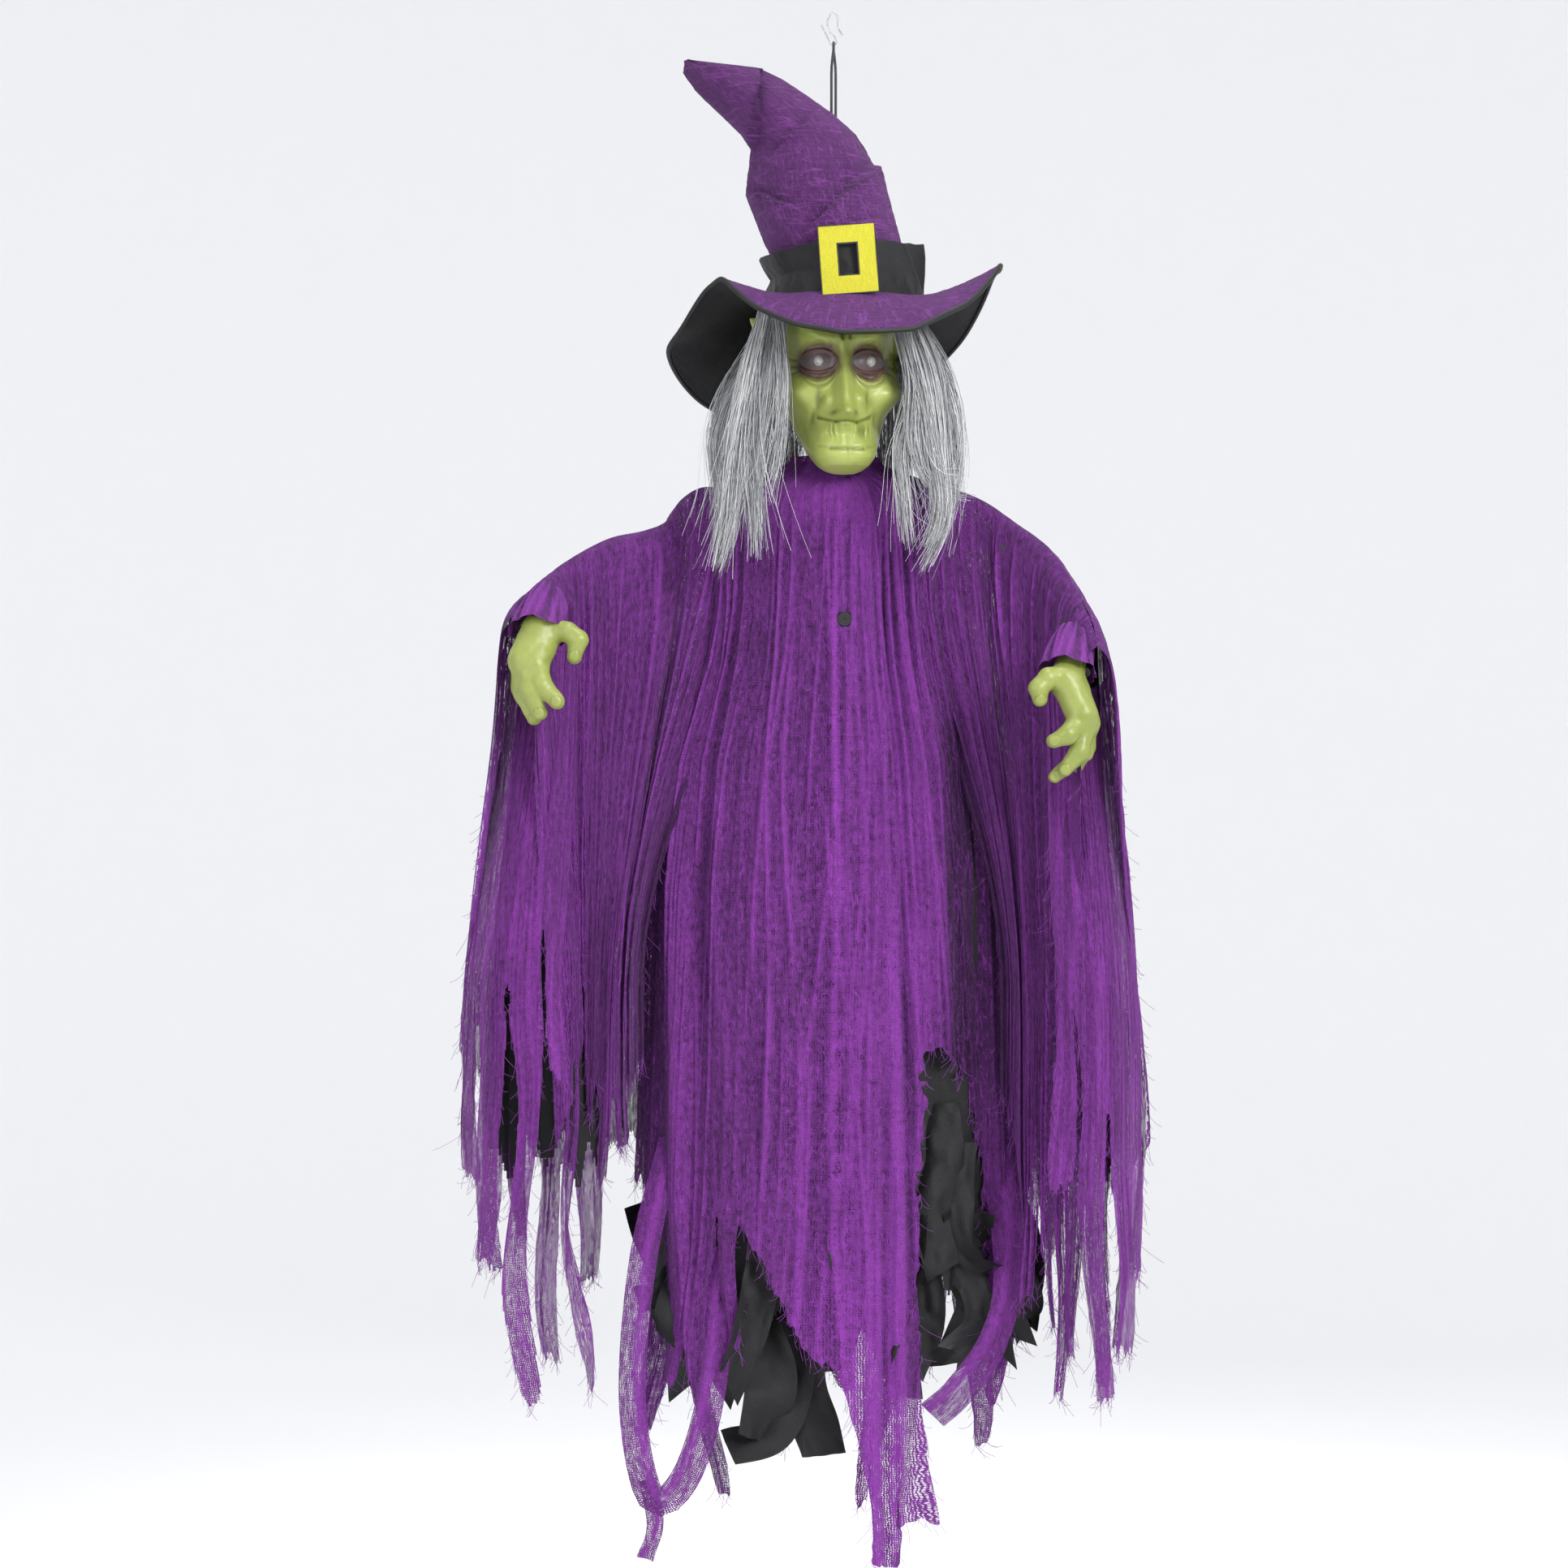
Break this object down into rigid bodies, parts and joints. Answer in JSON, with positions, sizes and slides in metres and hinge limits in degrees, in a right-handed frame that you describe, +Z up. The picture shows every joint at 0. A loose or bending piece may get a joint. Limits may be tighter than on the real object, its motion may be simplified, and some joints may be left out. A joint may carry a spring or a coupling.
{
  "type": "hanging animated witch figure",
  "caption": "Hanging witch figure on a wire hook: motor-turned head with pointed hat and hair, posable arms, gauze robe and a case that holds the drive, speaker and batteries.",
  "frame": {"origin": "top bend of the wire hook, where the figure hangs", "axes": "+Z up, -Y is the side the witch faces, +X to the right of somebody who looks at its face"},
  "size_m": [0.543, 0.3211, 1.234],
  "materials": {
    "steel_wire": "galvanised",
    "cord": "braided elastic",
    "case_plastic": "fine texture",
    "white_plastic": "natural nylon",
    "motor_steel": "plated can",
    "skin": "soft moulded vinyl with painted shading",
    "led_clear": "clear",
    "purple_gauze": "open crinkled gauze",
    "black_fabric": "nonwoven with a satin face",
    "buckle_felt": "felt",
    "grey_hair": "glossy synthetic strands",
    "tube_plastic": "moulded",
    "battery": "wrapped cell, plain",
    "board": "solder mask",
    "speaker_black": "paper cone and steel frame",
    "sensor_black": "smooth"
  },
  "bodies": {
    "hook": {"wire_hook": "steel_wire"},
    "figure": {"hanging_cord": "cord", "cord_anchor_pin": "motor_steel", "chest_front_case": "case_plastic", "chest_back_case": "case_plastic", "case_screws": "motor_steel", "gear_plate": "case_plastic", "gear_pins": "motor_steel", "thrust_washer": "motor_steel", "motor": "motor_steel", "shoulder_bar": "motor_steel", "shoulder_bolts": "motor_steel", "door_hinge_pin": "motor_steel", "batteries": "battery", "battery_contacts": "motor_steel", "battery_tray": "case_plastic", "speaker": "speaker_black", "circuit_board": "board", "sound_sensor": "sensor_black", "switch_body": "motor_steel", "robe_front": "purple_gauze", "robe_back": "purple_gauze", "robe_lining": "black_fabric", "robe_tatters": "purple_gauze", "lining_strips": "black_fabric"},
    "head": {"neck_gear": "white_plastic", "neck_tube": "motor_steel", "head_plate": "case_plastic", "head_front": "skin", "head_back": "skin", "eye_leds": "led_clear", "led_bracket": "case_plastic", "hat_cone": "purple_gauze", "hat_brim": "purple_gauze", "brim_binding": "black_fabric", "hat_band": "black_fabric", "hat_buckle": "buckle_felt", "hair_left": "grey_hair", "hair_right": "grey_hair", "hair_back": "grey_hair"},
    "second_gear": {"second_gear": "white_plastic"},
    "first_gear": {"first_gear": "white_plastic"},
    "motor_rotor": {"motor_shaft": "motor_steel", "motor_pinion": "white_plastic"},
    "left_arm": {"left_arm_tube": "tube_plastic", "left_hand": "skin", "left_sleeve": "purple_gauze", "left_sleeve_lining": "black_fabric"},
    "right_arm": {"right_arm_tube": "tube_plastic", "right_hand": "skin", "right_sleeve": "purple_gauze", "right_sleeve_lining": "black_fabric"},
    "battery_door": {"battery_door": "case_plastic"},
    "switch_knob": {"switch_knob": "sensor_black"}
  },
  "joints": [
    {"name": "hook_swing", "type": "hinge", "parent": "hook", "child": "figure", "pos_m": [0, 0, -0.027], "axis": [1, 0, 0], "range_deg": [-20, 20]},
    {"name": "head_turn", "type": "hinge", "parent": "figure", "child": "head", "pos_m": [0, 0, -0.42], "axis": [0, 0, 1], "range_deg": [-12, 12]},
    {"name": "second_gear_spin", "type": "hinge", "parent": "figure", "child": "second_gear", "pos_m": [-0.0248, 0, -0.42], "axis": [0, 0, 1], "range_deg": [-52, 52]},
    {"name": "first_gear_spin", "type": "hinge", "parent": "figure", "child": "first_gear", "pos_m": [-0.0248, 0.0168, -0.42], "axis": [0, 0, 1], "range_deg": [-190, 190]},
    {"name": "motor_spin", "type": "hinge", "parent": "figure", "child": "motor_rotor", "pos_m": [-0.0373, 0.0168, -0.42], "axis": [0, 0, 1], "range_deg": [-750, 750]},
    {"name": "left_shoulder", "type": "hinge", "parent": "figure", "child": "left_arm", "pos_m": [-0.112, 0, -0.42], "axis": [0, 0, 1], "range_deg": [-12, 25]},
    {"name": "right_shoulder", "type": "hinge", "parent": "figure", "child": "right_arm", "pos_m": [0.112, 0, -0.42], "axis": [0, 0, -1], "range_deg": [-25, 15]},
    {"name": "battery_door_hinge", "type": "hinge", "parent": "figure", "child": "battery_door", "pos_m": [0, 0.0294, -0.5481], "axis": [1, 0, 0], "range_deg": [0, 95]},
    {"name": "power_switch", "type": "slide", "parent": "figure", "child": "switch_knob", "axis": [1, 0, 0], "range_m": [0, 0.004]}
  ],
  "couplings": [
    {"joint": "second_gear_spin", "follows": "head_turn", "ratio": -4.1667},
    {"joint": "first_gear_spin", "follows": "head_turn", "ratio": 15.278},
    {"joint": "motor_spin", "follows": "head_turn", "ratio": -61.111}
  ]
}
